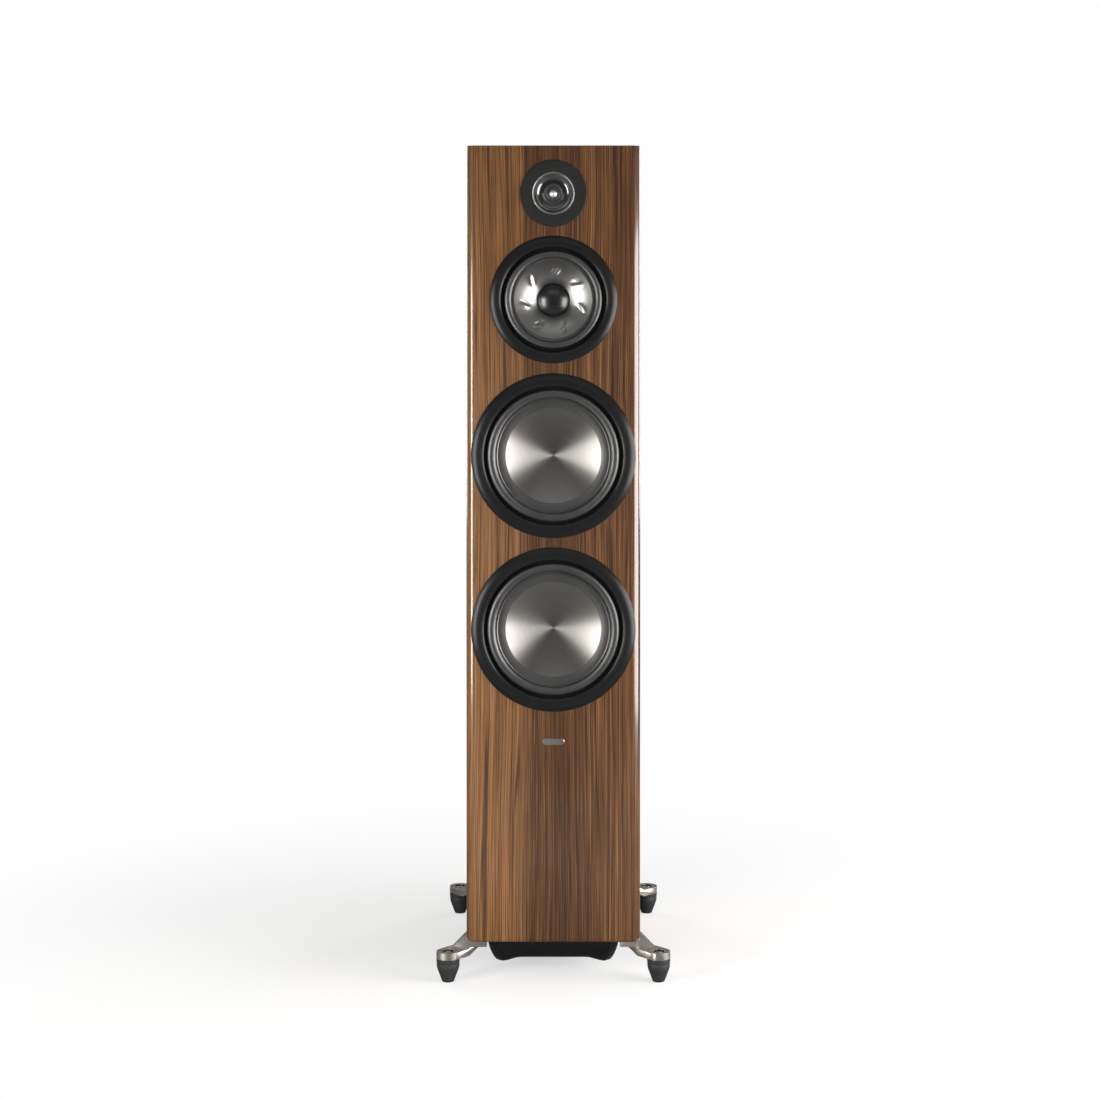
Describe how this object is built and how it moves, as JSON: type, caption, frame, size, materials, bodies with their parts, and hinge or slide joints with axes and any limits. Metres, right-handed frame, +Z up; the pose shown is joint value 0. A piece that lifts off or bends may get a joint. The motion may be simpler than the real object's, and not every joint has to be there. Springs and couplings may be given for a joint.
{
  "type": "floorstanding speaker",
  "caption": "Tall slim three-way loudspeaker in walnut veneer with a tweeter, a midrange, two metal dish woofers, outrigger legs, levelling feet and a down-firing port.",
  "frame": {"origin": "on the floor, in the middle of the footprint", "axes": "+Z up, the baffle faces -Y, +X to the right as seen from the front"},
  "size_m": [0.3288, 0.4184, 1.172],
  "materials": {
    "walnut_veneer": "satin vertical grain walnut veneer",
    "raw_fibreboard": "raw fibreboard",
    "satin_black_ring": "satin black",
    "black_basket": "powder coated casting",
    "rubber_surround": "glossy black rubber",
    "black_cone": "smooth black",
    "brushed_dish": "circular brushed, warm silver",
    "silver_cone": "satin silver",
    "dust_cap_black": "matte black",
    "spider_cloth": "resin treated cloth",
    "coil_former": "former with copper winding",
    "ferrite": "sintered ferrite",
    "zinc_steel": "zinc plated",
    "black_oxide_steel": "black oxide",
    "matte_faceplate": "matte dark grey",
    "polished_chrome": "polished",
    "gloss_black_plastic": "gloss black",
    "dark_film": "dark satin film",
    "black_plastic": "moulded black",
    "circuit_board": "printed board with parts",
    "brushed_plate": "brushed",
    "gold_plate": "gold plated",
    "red_insulator": "translucent red ring",
    "black_insulator": "black ring",
    "cast_nickel": "satin nickel casting",
    "boot_rubber": "satin black rubber",
    "badge_metal": "plain brushed"
  },
  "bodies": {
    "root": {"front_baffle": "walnut_veneer", "left_side_panel": "walnut_veneer", "right_side_panel": "walnut_veneer", "top_panel": "walnut_veneer", "bottom_panel": "raw_fibreboard", "rear_panel": "walnut_veneer", "window_braces": "raw_fibreboard", "midrange_chamber": "raw_fibreboard", "badge": "badge_metal", "driver_top_plates": "zinc_steel", "driver_magnets": "ferrite", "driver_yokes": "zinc_steel", "wood_screws": "black_oxide_steel", "tweeter_faceplate": "matte_faceplate", "tweeter_bezel_ring": "polished_chrome", "tweeter_waveguide": "gloss_black_plastic", "tweeter_phase_plug": "polished_chrome", "tweeter_rear_cup": "black_plastic", "port_tube": "black_plastic", "port_housing": "gloss_black_plastic", "crossover_board": "circuit_board", "terminal_plate": "brushed_plate", "terminal_posts": "gold_plate", "outrigger_legs": "cast_nickel", "leg_screws": "black_oxide_steel", "midrange_trim_ring": "satin_black_ring", "midrange_basket": "black_basket", "midrange_surround": "rubber_surround", "midrange_spider": "spider_cloth", "upper_woofer_trim_ring": "satin_black_ring", "upper_woofer_basket": "black_basket", "upper_woofer_surround": "rubber_surround", "upper_woofer_spider": "spider_cloth", "lower_woofer_trim_ring": "satin_black_ring", "lower_woofer_basket": "black_basket", "lower_woofer_surround": "rubber_surround", "lower_woofer_spider": "spider_cloth"},
    "midrange_diaphragm": {"midrange_cone": "silver_cone", "midrange_dust_cap": "dust_cap_black", "midrange_voice_coil": "coil_former"},
    "upper_woofer_diaphragm": {"upper_woofer_cone": "black_cone", "upper_woofer_dish": "brushed_dish", "upper_woofer_voice_coil": "coil_former"},
    "lower_woofer_diaphragm": {"lower_woofer_cone": "black_cone", "lower_woofer_dish": "brushed_dish", "lower_woofer_voice_coil": "coil_former"},
    "tweeter_ring": {"tweeter_diaphragm": "dark_film", "tweeter_voice_coil": "coil_former"},
    "front_left_boot": {"front_left_boot": "boot_rubber"},
    "front_left_stud": {"front_left_stud": "zinc_steel"},
    "front_right_boot": {"front_right_boot": "boot_rubber"},
    "front_right_stud": {"front_right_stud": "zinc_steel"},
    "rear_left_boot": {"rear_left_boot": "boot_rubber"},
    "rear_left_stud": {"rear_left_stud": "zinc_steel"},
    "rear_right_boot": {"rear_right_boot": "boot_rubber"},
    "rear_right_stud": {"rear_right_stud": "zinc_steel"},
    "red_washer": {"red_terminal_washer": "red_insulator"},
    "red_cap": {"red_terminal_cap": "gold_plate"},
    "black_washer": {"black_terminal_washer": "black_insulator"},
    "black_cap": {"black_terminal_cap": "gold_plate"}
  },
  "joints": [
    {"name": "midrange_excursion", "type": "slide", "parent": "root", "child": "midrange_diaphragm", "axis": [0, -1, 0], "range_m": [-0.0025, 0.0025], "stiffness_N_per_m": 1500, "deforming": ["midrange_surround", "midrange_spider"]},
    {"name": "upper_woofer_excursion", "type": "slide", "parent": "root", "child": "upper_woofer_diaphragm", "axis": [0, -1, 0], "range_m": [-0.005, 0.005], "stiffness_N_per_m": 1200, "deforming": ["upper_woofer_surround", "upper_woofer_spider"]},
    {"name": "lower_woofer_excursion", "type": "slide", "parent": "root", "child": "lower_woofer_diaphragm", "axis": [0, -1, 0], "range_m": [-0.005, 0.005], "stiffness_N_per_m": 1200, "deforming": ["lower_woofer_surround", "lower_woofer_spider"]},
    {"name": "tweeter_excursion", "type": "slide", "parent": "root", "child": "tweeter_ring", "axis": [0, -1, 0], "range_m": [-0.0003, 0.0003], "stiffness_N_per_m": 400},
    {"name": "front_left_foot_height", "type": "slide", "parent": "root", "child": "front_left_boot", "axis": [0, 0, -1], "range_m": [0, 0.008]},
    {"name": "front_left_stud_turn", "type": "hinge", "parent": "front_left_boot", "child": "front_left_stud", "pos_m": [-0.148, -0.1928, 0.02], "axis": [0, 0, -1], "range_deg": [0, 2304]},
    {"name": "front_right_foot_height", "type": "slide", "parent": "root", "child": "front_right_boot", "axis": [0, 0, -1], "range_m": [0, 0.008]},
    {"name": "front_right_stud_turn", "type": "hinge", "parent": "front_right_boot", "child": "front_right_stud", "pos_m": [0.148, -0.1928, 0.02], "axis": [0, 0, -1], "range_deg": [0, 2304]},
    {"name": "rear_left_foot_height", "type": "slide", "parent": "root", "child": "rear_left_boot", "axis": [0, 0, -1], "range_m": [0, 0.008]},
    {"name": "rear_left_stud_turn", "type": "hinge", "parent": "rear_left_boot", "child": "rear_left_stud", "pos_m": [-0.148, 0.1752, 0.02], "axis": [0, 0, -1], "range_deg": [0, 2304]},
    {"name": "rear_right_foot_height", "type": "slide", "parent": "root", "child": "rear_right_boot", "axis": [0, 0, -1], "range_m": [0, 0.008]},
    {"name": "rear_right_stud_turn", "type": "hinge", "parent": "rear_right_boot", "child": "rear_right_stud", "pos_m": [0.148, 0.1752, 0.02], "axis": [0, 0, -1], "range_deg": [0, 2304]},
    {"name": "red_cap_travel", "type": "slide", "parent": "root", "child": "red_washer", "axis": [0, 1, 0], "range_m": [0, 0.006]},
    {"name": "red_cap_turn", "type": "hinge", "parent": "red_washer", "child": "red_cap", "pos_m": [0.024, 0.2002, 0.2], "axis": [0, -1, 0], "range_deg": [0, 2160]},
    {"name": "black_cap_travel", "type": "slide", "parent": "root", "child": "black_washer", "axis": [0, 1, 0], "range_m": [0, 0.006]},
    {"name": "black_cap_turn", "type": "hinge", "parent": "black_washer", "child": "black_cap", "pos_m": [-0.024, 0.2002, 0.2], "axis": [0, -1, 0], "range_deg": [0, 2160]}
  ],
  "couplings": [
    {"joint": "front_left_stud_turn", "follows": "front_left_foot_height", "rad_per_m": 5026.5},
    {"joint": "front_right_stud_turn", "follows": "front_right_foot_height", "rad_per_m": 5026.5},
    {"joint": "rear_left_stud_turn", "follows": "rear_left_foot_height", "rad_per_m": 5026.5},
    {"joint": "rear_right_stud_turn", "follows": "rear_right_foot_height", "rad_per_m": 5026.5},
    {"joint": "red_cap_turn", "follows": "red_cap_travel", "rad_per_m": 6283.2},
    {"joint": "black_cap_turn", "follows": "black_cap_travel", "rad_per_m": 6283.2}
  ]
}
